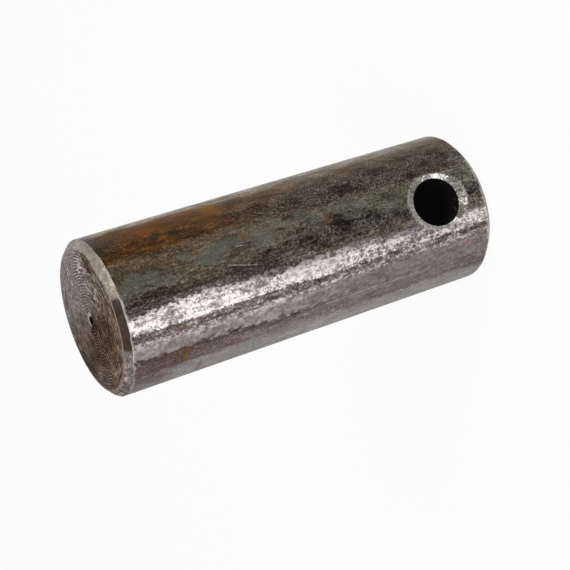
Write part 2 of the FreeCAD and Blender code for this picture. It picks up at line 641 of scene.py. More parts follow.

# %% [markdown]
# ## Mill scale
#
# Scale is the dark skin of oxide that hot rolling leaves. It runs in streaks along the bar, from
# soot over brown to grey-green, and part of it has turned to rust. On the side on which the pin
# slid, the skin is worn through to bright steel in one band, and to satin beside it. A highlight is
# painted into the bright band and a sheen into the satin, and two pale strips along the bar are
# painted reflections.
#
# One picture could be wrapped round the bar, but it would blur up close. Layers of noise don't, so
# the finish is built as it came about: the skin and its patches, the rust, the fine grain, the
# wear, spots of fresh rust and the scratches. Every layer follows the turn round the bar, and noise
# that is drawn out along the bar breaks up its border. The turn is 0 at the near countersink.

# %% Colours of the scale
SOOT = paint(31, 29, 26)
ASH = paint(50, 44, 38)
UMBER = paint(24, 19, 12)
PEAT = paint(45, 34, 18)
LOAM = paint(70, 48, 22)
BROWN = paint(50, 33, 9)
RUSTY_SKIN = paint(82, 52, 15)
TAWNY = paint(114, 90, 64)
OLIVE = paint(68, 52, 28)
PALE_OLIVE = paint(100, 89, 69)
OLIVE_SHEEN = paint(140, 133, 121)
KHAKI = paint(80, 68, 53)
WARM_GREY = paint(80, 73, 62)
DRAB = paint(45, 40, 30)
VERDIGRIS = paint(66, 63, 52)
PLUM = paint(74, 67, 63)
DARK_MAUVE = paint(80, 69, 66)
MAUVE = paint(96, 84, 81)
HAZE = paint(120, 110, 107)
PEWTER_SHEEN = paint(130, 125, 124)
SHADED_PEWTER = paint(104, 99, 97)
GREEN_SKIN = paint(93, 95, 86)
PALE_SHEEN = paint(138, 136, 130)
STROKE = paint(134, 130, 118)
print("colours of the scale from", SOOT, "to", PALE_SHEEN)

# %% Where each colour lies round the bar, by its turn in degrees, with painted reflections
BOTH_HALVES = {
    -180: DRAB,
    -150: UMBER,
    -125: MAUVE,
    # The pale pewter from -98 to -63 is a painted reflection of the white floor, and the pale olive
    # near 74 a painted reflection of the bright room above.
    -98: PEWTER_SHEEN,
    -84: SHADED_PEWTER,
    -74: PEWTER_SHEEN,
    -63: PEWTER_SHEEN,
    -61: MAUVE,
    74: OLIVE_SHEEN,
    95: BROWN,
    125: UMBER,
    150: VERDIGRIS,
    180: DRAB,
}
PLAIN_HALF = BOTH_HALVES | {
    -54: MAUVE,
    -49: DARK_MAUVE,
    -28: MAUVE,
    -25: PLUM,
    -8: PLUM,
    -3: ASH,
    4: WARM_GREY,
    10: WARM_GREY,
    15: KHAKI,
    25: KHAKI,
    29: LOAM,
    41: BROWN,
    50: RUSTY_SKIN,
    56: RUSTY_SKIN,
    62: TAWNY,
}
HOLE_HALF = BOTH_HALVES | {
    -56: HAZE,
    -34: HAZE,
    -29: MAUVE,
    -25: PLUM,
    -16: PLUM,
    -9: WARM_GREY,
    -4: ASH,
    4: SOOT,
    8: DRAB,
    13: VERDIGRIS,
    20: VERDIGRIS,
    25: PEAT,
    30: UMBER,
    36: PEAT,
    44: PEAT,
    50: OLIVE,
    60: PALE_OLIVE,
}
print(len(PLAIN_HALF), "and", len(HOLE_HALF), "zones round the bar")


# %% What every layer of the scale reads
class Shank(Recipe):
    """A recipe that knows the turn round the bar, and noise of several sizes on its skin."""

    def __init__(self, material):
        super().__init__(material)
        self.turn = self.degrees_round(self.x, self.y)
        self.streak = self.noise(1.3, 4, stretch=16)
        self.thread = self.noise(0.45, 3, stretch=9, shift=3)
        self.patch = self.noise(4.0, 4, stretch=2, shift=9)
        self.height = self.total(self.z, self.sway(self.patch, 10))
        self.mottle = self.noise(1.7, 5, stretch=2.2, rough=0.62, shift=27)
        self.grit = self.noise(0.8, 4, stretch=1.4, rough=0.6, shift=5)
        self.speckle = self.noise(0.34, 3, stretch=1.2, rough=0.75, shift=14)
        self.flecks = self.noise(0.3, 3, stretch=1.5, rough=0.8, shift=51)
        lobes = self.total(self.sway(self.patch, 4), self.sway(self.mottle, 5))
        self.border = self.total(self.turn, lobes, self.sway(self.streak, 4), self.sway(self.grit, 4))

    def round_bar(self, numbers):
        """A number that changes with the turn round the bar."""
        return self.grey(self.turn, -180, 180, numbers)

    def up_bar(self, numbers):
        """A number that changes with the height up the pin."""
        return self.grey(self.z, 0, LENGTH, numbers)


print("a layer of the scale reads the turn, the height, its ragged border and seven kinds of noise")

# %% Colour the skin in its zones
# What each level of the mottling noise multiplies the red, green and blue of the skin by
MOTTLING = {0.3: (0.5, 0.47, 0.42, 1), 0.5: (1, 0.98, 0.95, 1), 0.7: (1.7, 1.66, 1.6, 1)}


def skin(r):
    """The whole scale: zones round the bar, in lighter and darker patches of a few millimetres."""
    plain_half = r.ramp(r.border, -180, 180, PLAIN_HALF)
    hole_half = r.ramp(r.border, -180, 180, HOLE_HALF)
    colour = r.mix(r.step(r.height, 24, 42), hole_half, plain_half)
    mottled = r.mix(1.0, colour, r.ramp(r.mottle, 0.3, 0.7, MOTTLING), "MULTIPLY")
    # The mottling is calmer from -110 to -40, in the painted floor reflection, and in one stretch low
    # on the bar from 30 to 60.
    even = r.product(r.window(r.border, 20, 30, 60, 80), r.step(r.z, 36, 24), 0.65)
    calm = r.highest(r.window(r.turn, -110, -66, -60, -40), even)
    return r.mix(r.step(calm, 0, 1, 1.0, 0.4), colour, mottled)


print("layer 1: the skin in its zones, in", len(MOTTLING), "tones of mottling")


# %% Darken the skin with soot, and paint a highlight as a pale rim at the standing end
def sooty_with_rim_highlight(r, colour):
    """Soot over the middle and behind the plain end, and a painted highlight as a pale rim at the
    other end.
    """
    far_patch = r.product(r.window(r.border, 20, 28, 34, 40), 0.5)
    near_patch = r.product(r.window(r.border, -4, 1, 8, 13), 0.35)
    middle = r.window(r.height, 21, 27, 39, 45)
    colour = r.mix(r.product(r.highest(far_patch, near_patch), middle), colour, UMBER)
    behind_bevel = r.product(r.step(r.height, 60, 66), r.window(r.border, 36, 43, 62, 68), 0.6)
    colour = r.mix(behind_bevel, colour, DRAB)
    # Painted highlight: a pale rim where the shank meets the bevel at the standing end.
    rim = r.product(r.step(r.height, 6, 1), r.window(r.border, -3, 3, 36, 44), 0.25)
    return r.mix(rim, colour, PALE_SHEEN)


print("layer 2: soot over the middle and behind the plain end")

# %% Tint the skin with verdigris and mauve, and paint a pale reflection near one edge
# Where the grey-green patches lie, by height up the pin: their middle, as a share of the widest
# turn that such a table can hold, and their strength
WIDEST_TURN = 30
GREEN_MIDDLE = {0: 0.3, 20: 0.3, 28: 0.5, 36: 0.58, 44: 0.42, 55: 0.34, 67: 0.3}
GREEN_STRENGTH = {0: 0.0, 13: 0.1, 18: 0.8, 26: 0.7, 30: 0.5, 36: 0.9, 43: 0.7, 52: 0.9, 67: 0.7}


def tinted(r, colour):
    """Verdigris, a painted pale reflection near turn 70 and two mauve casts over the skin."""
    colour = r.mix(r.product(green_patches(r), 0.8), colour, GREEN_SKIN)
    # Painted reflection: pale patches near turn 70, low on the bar, where the edge mirrors the room.
    grazing_sheen = r.product(r.window(r.border, 56, 66, 80, 90), r.window(r.z, -5, 1, 38, 46))
    grazing_sheen = r.product(grazing_sheen, r.step(r.mottle, 0.45, 0.62), 0.7)
    colour = r.mix(grazing_sheen, colour, PALE_SHEEN)
    hazy = r.product(r.window(r.border, -67, -62, -54, -50), r.window(r.height, 24, 28, 44, 54))
    colour = r.mix(r.product(hazy, r.step(r.mottle, 0.4, 0.5, 0.4, 0.9)), colour, HAZE)
    near_plain_end = r.product(r.window(r.border, -100, -92, -58, -53), r.step(r.height, 55, 60))
    near_hole_end = r.product(r.window(r.border, -70, -64, -52, -47), r.step(r.z, 10, 4))
    ruddy = r.highest(near_plain_end, near_hole_end)
    return r.mix(r.product(ruddy, r.step(r.mottle, 0.42, 0.5, 0.3, 0.9)), colour, DARK_MAUVE)


def green_patches(r):
    """1 where the skin has turned grey-green, in smooth patches along one side."""
    blots = r.noise(2.2, 4, stretch=2.2, rough=0.55, shift=73)
    middle = r.product(r.up_bar(GREEN_MIDDLE), WIDEST_TURN)
    aside = r.math("ABSOLUTE", r.math("SUBTRACT", r.border, middle))
    beside = r.product(r.step(aside, 4, 12, 1, 0), r.up_bar(GREEN_STRENGTH))
    return r.product(beside, r.step(blots, 0.46, 0.53))


# The pale dust named in this print is the painted reflection.
print("layer 3: green patches, pale dust and two mauve casts")

# %% [markdown]
# ### Rust
#
# Rust breaks through the scale where damp stayed: in one broad field of flakes near the plain end,
# and in single spots elsewhere. Flakes could be modelled, but they are thinner than a hair. So noise
# in three browns fills the field. The spots are laid later, over the worn steel, from a list of
# places, because on the real pin each has a place of its own.

# %% Rust the skin in one broad field
RUST_DARK = paint(52, 35, 16)
RUST_BROWN = paint(86, 54, 20)
RUST_ORANGE = paint(118, 66, 20)
RUST_OCHRE = paint(132, 94, 24)
RUST_RED = paint(98, 58, 46)
RUST_PINK = paint(160, 70, 70)


def rusted(r, colour):
    """One broad field of rust flakes: the new colour, and how rusty each place is."""
    field = r.product(r.window(r.border, 28, 44, 60, 68), r.window(r.z, 40, 46, 60, 65))
    bloom = r.noise(1.3, 5, stretch=1.6, rough=0.65, shift=61)
    flakes = r.noise(0.8, 4, stretch=1.2, rough=0.65, shift=94)
    field = r.product(field, r.step(bloom, 0.44, 0.53), 0.9)
    tint = r.mix(r.step(bloom, 0.525, 0.6), RUST_BROWN, RUST_ORANGE)
    tint = r.mix(r.step(flakes, 0.53, 0.59, 0.0, 0.85), tint, RUST_DARK)
    return r.mix(field, colour, tint), r.product(field, 0.8)


print("layer 4: the broad field of rust")

# %% Fine grain, and the strokes of many small scratches, by the turn round the bar
GRAIN = {-180: 1.0, -95: 0.4, -66: 0.3, -58: 0.55, -44: 0.65, -30: 0.9, 3: 1.0, 8: 0.7}
GRAIN |= {22: 0.7, 30: 0.75, 42: 0.85, 50: 0.55, 75: 0.4, 110: 0.8, 180: 1.0}
STROKES = {-180: 0.5, -100: 0.2, -66: 0.15, -50: 0.2, -28: 0.2, -14: 0.5, 0: 0.7}
STROKES |= {12: 0.5, 20: 0.9, 44: 0.95, 54: 0.4, 72: 0.2, 110: 0.4, 180: 0.5}

# Each set of strokes: its tilt from the bar in degrees, and the shift of its noise
STROKE_TILTS = ((62, 2), (-48, 13), (86, 29), (20, 41), (-72, 53), (42, 67))


def grained(r, colour, calm):
    """Light and dark grain, weaker where the skin is calm and near the plain end."""
    grain = r.total(r.sway(r.flecks, 0.75), r.sway(r.thread, 0.25), 0.5)
    strength = r.product(r.round_bar(GRAIN), r.step(r.z, 32, 46, 1.0, 0.75))
    coarse = r.product(strength, r.step(calm, 0, 1, 3.2, 1.2))
    colour = r.mix(1.0, colour, r.gain(grain, coarse), "MULTIPLY")
    pale = r.product(strength, r.step(grain, 0.58, 0.74, 0.0, 0.12), r.step(calm, 0, 1, 1, 0.1))
    return r.mix(pale, colour, STROKE)


def stroked(r, colour):
    """Short fine scratches that cross each other, and longer hairlines round the bar."""
    marks = 0.0
    for tilt, shift in STROKE_TILTS:
        lines = r.noise(0.14, 1, stretch=13, shift=shift, tilt=tilt)
        marks = r.highest(r.step(lines, 0.635, 0.71), marks)
    amount = r.product(marks, r.round_bar(STROKES), r.step(r.mottle, 0.36, 0.56))
    amount = r.product(amount, r.window(r.z, -5, 2, 34, 56))
    hairs = r.step(r.noise(0.17, 1, stretch=24, shift=57, tilt=84), 0.58, 0.72)
    hairs = r.product(hairs, r.step(r.patch, 0.4, 0.56), 0.5)
    hairs = r.product(hairs, r.window(r.turn, 6, 16, 38, 50), r.window(r.z, 3, 9, 26, 36))
    return r.mix(r.highest(amount, hairs), colour, STROKE)


print("layers 5 and 6: grain, and strokes along", len(STROKE_TILTS), "slopes")

# %% [markdown]
# ### Worn steel
#
# Where the pin slid, the scale is gone. The bright band also carries a painted highlight, and the
# satin and haze beside it a painted sheen. A plain mask would look like paint with a soft edge. So
# the wear is a level that rises and falls round the bar, and noise of every size is added before the
# level picks its colour. The steel then comes through in specks first, as it does on the real pin.

# %% Where the skin is worn and the highlight painted: 0 is whole and 1 is bright steel at the highlight
WEAR_AND_HIGHLIGHT_COLOURS = {
    0.0: paint(66, 59, 56),
    0.25: paint(92, 82, 79),
    0.45: paint(127, 120, 119),
    0.62: paint(165, 158, 157),
    0.8: paint(216, 209, 206),
    0.92: paint(234, 229, 226),
    1.0: paint(238, 234, 231),
}
# Satin below the band and haze in the hole half: wear with a painted sheen, by the turn round the bar
SATIN_WEAR_AND_SHEEN = {-180: 0, -62: 0, -47.4: 0.05, -46: 0.5, -44: 0.5, -40: 0.47, -35: 0.6}
SATIN_WEAR_AND_SHEEN |= {-33.4: 0.66, -32.4: 0.3, -27.5: 0.3, -25: 0.1, -12: 0, 180: 0}
HAZY_WEAR_AND_SHEEN = {-180: 0, -62: 0.08, -57: 0.3, -45: 0.38, -36: 0.4, -28: 0.32}
HAZY_WEAR_AND_SHEEN |= {-16: 0.28, -10: 0.1, 3: 0}

# How far round the bar the bright band reaches, how clean it is and how bright its painted highlight
# is, by height up the pin
BAND_LOW = -26.5
BAND_REACH = {0: 0.42, 15: 0.44, 23: 0.46, 30: 0.46, 36: 0.42, 40: 0.4, 46: 0.44}
BAND_REACH |= {50: 0.54, 57: 0.56, 60: 0.47, 67: 0.42}
BAND_WEAR_AND_HIGHLIGHT = {0: 0.66, 8: 0.62, 15: 0.48, 21: 0.55, 26: 0.66, 32: 0.7, 40: 0.7, 50: 0.76, 67: 0.76}
# The painted highlight's core, brightest near -23, by the turn round the bar
BAND_HIGHLIGHT_CORE = {-180: 1.0, -26: 0.96, -23: 1.03, -19: 1.01, -14: 0.98, -9: 0.9, -5: 0.84, 180: 1.0}
SCATTER = {-180: 0.45, -62: 0.35, -52: 0.5, -46: 0.28, -36: 0.34, -33: 1.3}
SCATTER |= {-27.5: 1.4, -25: 1.1, -18: 1.0, -8: 1.3, 180: 1.0}
print("bright band from", BAND_LOW, "degrees, with satin and haze below it")


# %% Find how far the skin is worn, and where the painted highlight and sheen lie
def bright_band(r):
    """The band worn to bright steel, with a painted highlight: straight below, and ragged above."""
    low_side = r.total(r.turn, r.sway(r.streak, 3), r.sway(r.speckle, 2))
    ragged = r.total(r.turn, r.sway(r.mottle, 9), r.sway(r.grit, 12), r.sway(r.speckle, 6))
    high_side = r.math("MULTIPLY_ADD", r.up_bar(BAND_REACH), WIDEST_TURN, BAND_LOW)
    above_low = r.step(low_side, BAND_LOW - 1, BAND_LOW + 1)
    below_high = r.step(r.math("SUBTRACT", ragged, high_side), -1.0, 2.0, 1, 0)
    return r.product(above_low, below_high, r.up_bar(BAND_WEAR_AND_HIGHLIGHT), r.round_bar(BAND_HIGHLIGHT_CORE))


def dull_wear_and_sheen(r):
    """Satin stripes in the plain half and a thin haze of steel in the hole half, worn and with a
    painted sheen.
    """
    lobed = r.total(r.turn, r.sway(r.mottle, 6), r.sway(r.grit, 7), r.sway(r.streak, 4))
    plain_half = r.step(r.total(r.z, r.sway(r.patch, 8)), 26, 42)
    satin = r.product(r.grey(lobed, -180, 180, SATIN_WEAR_AND_SHEEN), plain_half)
    hazy = r.product(r.grey(r.border, -180, 180, HAZY_WEAR_AND_SHEEN), r.step(plain_half, 0, 1, 1, 0))
    behind_hole = r.product(r.step(r.z, 9, 4), r.step(r.turn, -14, -9))
    return r.total(satin, r.product(hazy, r.step(behind_hole, 0, 1, 1.0, 0.2)))


def scattered(r):
    """Noise of every size, which breaks the wear up, and is weaker in the smooth core of the painted
    highlight.
    """
    scatter = r.total(r.sway(r.speckle, 0.55), r.sway(r.grit, 0.5), r.sway(r.mottle, 0.4))
    scatter = r.step(r.total(scatter, r.sway(r.thread, 0.25)), -0.28, 0.28, -0.3, 0.3)
    smooth = r.product(r.window(r.z, 27, 30, 37, 42), r.window(r.turn, -26, -23, -14, -8))
    return r.product(scatter, r.round_bar(SCATTER), r.step(smooth, 0, 1, 1, 0.6))


print("the wear is a level from 0 to 1, broken up by noise")

# %% Wear the skin down to steel, with the painted highlight and sheen
PIT_DARK = paint(52, 45, 43)
PITS = {-180: 0.4, -70: 0.3, -62: 0.6, -46: 0.9, -34: 1.0, -10: 1.0, -4: 0.6}
PITS |= {4: 0.7, 20: 0.8, 50: 0.5, 70: 0.2, 180: 0.4}


def worn(r, colour):
    """Steel over the skin where it is worn, with painted highlight and sheen: the new colour, and how
    bare and bright each place is.
    """
    level = r.highest(bright_band(r), dull_wear_and_sheen(r))
    broken = r.total(level, scattered(r))
    bare = r.product(r.step(broken, 0.08, 0.34), r.step(level, 0.02, 0.12))
    steel = r.ramp(broken, 0, 1, WEAR_AND_HIGHLIGHT_COLOURS)
    pits = r.step(r.noise(0.32, 2, stretch=1.3, rough=0.6, shift=88), 0.595, 0.67)
    pits = r.product(pits, r.round_bar(PITS), r.step(r.grit, 0.36, 0.56, 1, 0.3))
    colour = r.mix(r.product(pits, 0.85), r.mix(bare, colour, steel), PIT_DARK)
    return colour, r.product(bare, broken)


print("layer 7: steel in", len(WEAR_AND_HIGHLIGHT_COLOURS), "tones, with dark pits")

# %% Rust spots: (turn, height, half width round the bar, half length, colour, strength)
RUST_SPOTS = [
    (55, 45.8, 2.2, 1.8, RUST_OCHRE, 0.9),
    (49, 46.5, 2.4, 3.4, RUST_BROWN, 0.45),
    (50, 55.5, 1.6, 5.0, RUST_BROWN, 0.8),
    (37, 55.2, 0.5, 1.0, RUST_ORANGE, 0.9),
    (41, 47.5, 1.3, 2.6, RUST_BROWN, 0.8),
    (60, 61.5, 1.1, 2.6, RUST_BROWN, 0.7),
    (50, 57.0, 1.2, 2.4, RUST_ORANGE, 0.7),
    (62, 51.5, 0.8, 4.0, RUST_ORANGE, 0.5),
    (30, 57.5, 0.6, 1.6, RUST_BROWN, 0.7),
    (18, 43.6, 0.35, 0.9, RUST_ORANGE, 0.85),
    (12, 29.3, 1.1, 0.45, RUST_RED, 0.8),
    (9, 30.2, 0.5, 0.35, RUST_BROWN, 0.8),
    (2, 52.0, 0.3, 0.9, RUST_RED, 0.7),
    (26.8, 34.0, 0.22, 0.25, RUST_PINK, 1.0),
    (45, 36.3, 0.5, 0.5, RUST_RED, 0.4),
    (56, 33.0, 0.7, 0.9, RUST_OCHRE, 0.55),
    (47, 14.0, 0.9, 0.8, RUST_BROWN, 0.5),
    (52, 21.0, 1.0, 2.0, RUST_BROWN, 0.4),
    (-30, 57.6, 0.6, 1.2, RUST_BROWN, 0.55),
    (-35, 58.3, 0.8, 0.6, RUST_RED, 0.3),
    (-57, 59.3, 1.3, 0.9, RUST_BROWN, 0.35),
    (-66, 61.5, 0.9, 0.7, RUST_RED, 0.3),
    (-54, 57.2, 1.7, 0.35, RUST_OCHRE, 0.8),
    (-50, 57.2, 1.5, 1.9, RUST_BROWN, 0.6),
    (-47, 61.5, 0.9, 1.2, RUST_BROWN, 0.4),
    (-59, 48.0, 0.35, 3.0, RUST_RED, 0.55),
    (-72, 54.4, 1.4, 0.5, RUST_RED, 0.5),
    (-57, 62.5, 1.2, 1.6, RUST_RED, 0.4),
    (-38, 5.6, 0.7, 0.9, RUST_PINK, 0.35),
    (-52, 5.0, 0.5, 2.5, RUST_RED, 0.35),
    (150, 22.0, 1.6, 5.0, RUST_BROWN, 0.55),
    (141, 26.5, 0.7, 1.2, RUST_ORANGE, 0.6),
    (118, 51.0, 1.4, 4.5, RUST_BROWN, 0.6),
    (124, 48.0, 0.6, 1.0, RUST_ORANGE, 0.7),
    (-140, 40.0, 1.8, 5.0, RUST_BROWN, 0.5),
    (-147, 43.5, 0.6, 0.9, RUST_RED, 0.6),
    (-112, 17.0, 0.9, 2.6, RUST_OCHRE, 0.5),
    (172, 57.0, 1.0, 3.2, RUST_BROWN, 0.6),
]
print(len(RUST_SPOTS), "spots of rust")

# %% Add spots of fresh rust
MM_PER_DEGREE = RADIUS * math.radians(1)


def spotted(r, colour, rusty):
    """Rust in spots, also where the skin is worn: the new colour, and how rusty each place is."""
    ragged = r.sway(r.noise(0.9, 5, stretch=1.5, rough=0.7, shift=33), 1.6)
    for turn, height, half_width, half_length, tint, strength in RUST_SPOTS:
        half_turn = half_width / MM_PER_DEGREE
        away = r.oval(r.turn, r.z, (turn, height), (half_turn, half_length))
        mask = r.step(r.total(away, ragged), 0.3, 1.2, strength, 0.0)
        colour = r.mix(mask, colour, tint)
        rusty = r.highest(mask, rusty)
    return colour, rusty


print(f"layer 8: spots of rust, where one degree is {MM_PER_DEGREE:.3f} mm round the bar")

# %% [markdown]
# ### Scratches and knocked edges
#
# The long scratches are few and straight. Noise can't place them, so each is a line from one place
# to another, laid over all other layers, and one of the lines is a painted glint. The knocked edges
# show the same bright steel, and behind the plain bevel a painted highlight as well.

# %% Scratches: (turn, height) of the start and of the end, half width in millimetres, strength
SCRATCHES = [
    ((1.5, 48.3), (-5, 43.2), 0.032, 0.7),
    ((12.6, 45.9), (11.0, 43.8), 0.032, 0.65),
    ((14.2, 45.4), (13.4, 44.1), 0.03, 0.5),
    ((-50.6, 33.0), (-50.0, 15.5), 0.05, 0.5),
    ((-53.0, 28.0), (-52.0, 17.0), 0.04, 0.35),
    ((-43, 43.2), (-36, 40.5), 0.045, 0.5),
    ((-36, 40.5), (-29.5, 38.8), 0.045, 0.5),
    ((21.5, 12.0), (19.6, 3.4), 0.035, 0.6),
    ((2, 25.0), (-5, 22.2), 0.03, 0.32),
    ((-7, 23.2), (-1, 19.4), 0.03, 0.32),
    ((8, 20.2), (4.6, 17.0), 0.03, 0.32),
    ((27.5, 40.6), (26.0, 38.4), 0.03, 0.35),
    ((33, 22.0), (29, 21.2), 0.03, 0.35),
    ((25, 18.2), (15, 16.8), 0.03, 0.32),
    # A painted highlight, not a scratch: a pale glint along the bar near turn 61.
    ((62, 47.0), (60.5, 36.0), 0.06, 0.5),
    ((-47, 22.0), (-46, 21.4), 0.14, 0.9),
    ((120, 30.0), (112, 38.0), 0.05, 0.6),
    ((165, 50.0), (176, 44.0), 0.05, 0.6),
    ((-95, 52.0), (-102, 47.0), 0.05, 0.6),
]
print(len(SCRATCHES), "scratches")


# %% Draw one scratch
def scratch_mask(r, scratch):
    """1 on a thin straight scratch and 0 beside it."""
    (turn_a, height_a), (turn_b, height_b), half_width, strength = scratch
    start = Vector((turn_a * MM_PER_DEGREE, height_a))
    run = Vector((turn_b * MM_PER_DEGREE, height_b)) - start
    length = run.length
    run.normalize()
    along = r.math("MULTIPLY_ADD", r.turn, run.x * MM_PER_DEGREE, -start.dot(run))
    along = r.math("MULTIPLY_ADD", r.z, run.y, along)
    aside = start.x * run.y - start.y * run.x
    beside = r.math("MULTIPLY_ADD", r.turn, -run.y * MM_PER_DEGREE, aside)
    beside = r.math("MULTIPLY_ADD", r.z, run.x, beside)
    thin = r.step(r.math("ABSOLUTE", beside), 0.2 * half_width, 1.8 * half_width, strength, 0.0)
    return r.product(thin, r.window(along, -0.2, 0.6, length - 0.9, length + 0.2))


print("a scratch is a straight line round the unrolled bar")

# %% Scratch the shank and wear its edges
EDGE_WEAR = 0.4
RIM_WEAR = 0.45


def worn_edges(r):
    """Bright steel on the knocked edges at both bevels and round the countersinks, with a painted
    highlight behind the plain bevel.
    """
    shoulder = LENGTH - PLAIN_END_BEVEL
    # Worn edge behind the plain bevel, with a painted highlight, only from -110 to 10 round the bar.
    worn_and_lit_plain_edge = r.step(r.z, shoulder - EDGE_WEAR, shoulder)
    worn_and_lit_plain_edge = r.product(worn_and_lit_plain_edge, r.window(r.turn, -110, -60, 0, 10))
    hole_edge = r.step(r.z, HOLE_END_BEVEL + EDGE_WEAR, HOLE_END_BEVEL)
    edges = r.product(r.highest(worn_and_lit_plain_edge, hole_edge), r.step(r.mottle, 0.4, 0.6), 0.5)
    reach = r.distance(r.math("SUBTRACT", r.z, sink_height), r.y)
    deep = r.math("SUBTRACT", r.math("ABSOLUTE", r.x), RADIUS - SINK_MOUTH_RADIUS)
    outside = r.math("SUBTRACT", reach, deep)
    rim = r.product(r.step(outside, RIM_WEAR, 0.0), r.step(r.speckle, 0.46, 0.6), 0.7)
    return r.highest(edges, rim)


def scratched(r):
    """How far scratches and knocked edges show bright steel."""
    marks = 0.0
    for scratch in SCRATCHES:
        marks = r.highest(scratch_mask(r, scratch), marks)
    return r.highest(r.product(marks, r.step(r.flecks, 0.3, 0.55, 0.35, 1.0)), worn_edges(r))


print("layer 9: scratches, and edges worn over", EDGE_WEAR, "mm")


# %% Make the mill scale
def make_mill_scale(material):
    """Dark oxide in streaks, rusty in places, and worn bright along one side, with painted highlights
    and reflections.
    """
    r = Shank(material)
    colour, rusty = rusted(r, tinted(r, sooty_with_rim_highlight(r, skin(r))))
    colour = stroked(r, grained(r, colour, r.highest(green_patches(r), rusty)))
    colour, bare = worn(r, colour)
    colour, rusty = spotted(r, colour, rusty)
    marks = scratched(r)
    shine = r.math("MAXIMUM", bare, marks, clamp=True)
    relief = r.bump(r.flecks, 0.07, r.bump(r.thread, 0.05))
    r.finish(
        colour=r.mix(marks, colour, WEAR_AND_HIGHLIGHT_COLOURS[0.8]),
        metal=r.step(rusty, 0, 1, 0.9, 0.35),
        rough=r.total(r.step(shine, 0, 1, 0.47, 0.3), r.product(rusty, 0.25)),
        sheen=0.15,
        relief=r.bump(shine, -0.03, relief),
    )


make_mill_scale(finishes[SCALE_SLOT])
print("mill scale:", len(finishes[SCALE_SLOT].node_tree.nodes), "nodes")

# %% [markdown]
# ## Faced steel
#
# Both ends were cut square in the lathe, so they are bare steel, dulled to a mauve grey. The feed
# of the tool left fine rings, and dirt sits in them. Damp has stained the face brown, most of all
# beside the pit in the middle and over the lower half. The film of dirt is matt, so these ends
# hardly shine. The bevel of the plain end is grey, with painted shade in a brown stretch and a
# painted reflection in an olive stretch.
#
# The rings are real grooves in the mesh, but they are too shallow to darken by themselves. So dirt
# and painted shade are laid in the grooves, and a painted highlight on the ridges, by the distance
# from the middle, and broken arcs of noise run with them.

# %% Colours of the faced ends
FACE_MAUVE = paint(134, 123, 120)
FACE_GREY = paint(124, 113, 106)
FACE_UMBER = paint(90, 74, 63)
FACE_BROWN = paint(72, 56, 43)
FACE_DARK = paint(53, 38, 26)
FACE_RUST = paint(44, 27, 16)
FACE_PINK = paint(142, 126, 124)
FACE_BEIGE = paint(142, 129, 112)
GROOVE_DIRT_AND_SHADE = paint(50, 40, 33)
STEEL_HIGHLIGHT = paint(178, 170, 162)
PIT_BLACK = paint(14, 11, 9)
FACE_TONES = {
    -12: FACE_UMBER,
    -8: FACE_UMBER,
    -6: FACE_BROWN,
    -3: FACE_BROWN,
    -1: FACE_UMBER,
    3.5: FACE_GREY,
    7: FACE_MAUVE,
    12: FACE_MAUVE,
}
print(len(FACE_TONES), "tones up the plain face")


# %% What every layer of an end face reads
class EndFace(Recipe):
    """A recipe that knows the distance from the middle of the bar, and noise of several sizes."""

    def __init__(self, material):
        super().__init__(material)
        self.reach = self.distance(self.x, self.y)
        self.turn = self.degrees_round(self.x, self.y)
        self.plain = self.step(self.z, LENGTH * 0.4, LENGTH * 0.6)
        self.grain = self.noise(0.3, 3, rough=0.75, shift=2)
        self.patch = self.noise(2.4, 4, rough=0.6, shift=21)
        self.blotch = self.noise(0.9, 4, rough=0.7, shift=45)

    def arcs(self, width, lobes):
        """Noise in broken arcs round the middle, about as wide as given."""
        reach = self.math("MAXIMUM", self.reach, 0.01)
        outwards = self.product(self.reach, 1 / width)
        across = self.product(self.math("DIVIDE", self.x, reach), lobes)
        up = self.product(self.math("DIVIDE", self.y, reach), lobes)
        return self.cloud(self.node("CombineXYZ", outwards, across, up).outputs[0], 2)


print("a layer of an end face reads the reach, the turn and three kinds of noise")

# %% Stain the faced steel
# Stains on the plain face: (across, up, half width, half height, colour, strength)
FACE_STAINS = [
    (8.6, 2.2, 1.5, 3.0, FACE_BROWN, 0.45),
    (7.3, 7.2, 2.3, 1.9, FACE_BROWN, 0.9),
    (6.0, 7.4, 0.9, 1.3, FACE_DARK, 0.6),
    (1.3, -0.6, 0.8, 1.3, FACE_DARK, 0.8),
    (-3.4, -6.0, 4.0, 1.6, FACE_DARK, 0.6),
    (-8.6, -5.0, 1.8, 2.8, FACE_DARK, 0.7),
    (4.4, -3.2, 3.6, 2.0, FACE_DARK, 0.75),
    (1.8, -1.5, 3.2, 1.1, FACE_RUST, 0.95),
    (3.2, -0.9, 1.1, 0.6, RUST_BROWN, 0.6),
    (8.8, -3.0, 0.7, 1.2, RUST_RED, 0.35),
    (5.3, -7.7, 0.45, 0.25, PIT_BLACK, 0.8),
    (7.6, 2.4, 0.5, 0.5, FACE_DARK, 0.7),
    (6.8, 4.2, 2.2, 2.2, FACE_BEIGE, 0.4),
    (9.2, -3.0, 1.5, 2.2, FACE_BEIGE, 0.35),
    (-7.2, -3.0, 1.4, 1.5, FACE_BEIGE, 0.4),
    (-4.3, -7.6, 2.4, 0.9, FACE_BEIGE, 0.35),
    (7.6, -6.2, 1.3, 1.2, FACE_BEIGE, 0.35),
    (3.4, -8.8, 2.6, 0.8, FACE_BEIGE, 0.3),
]


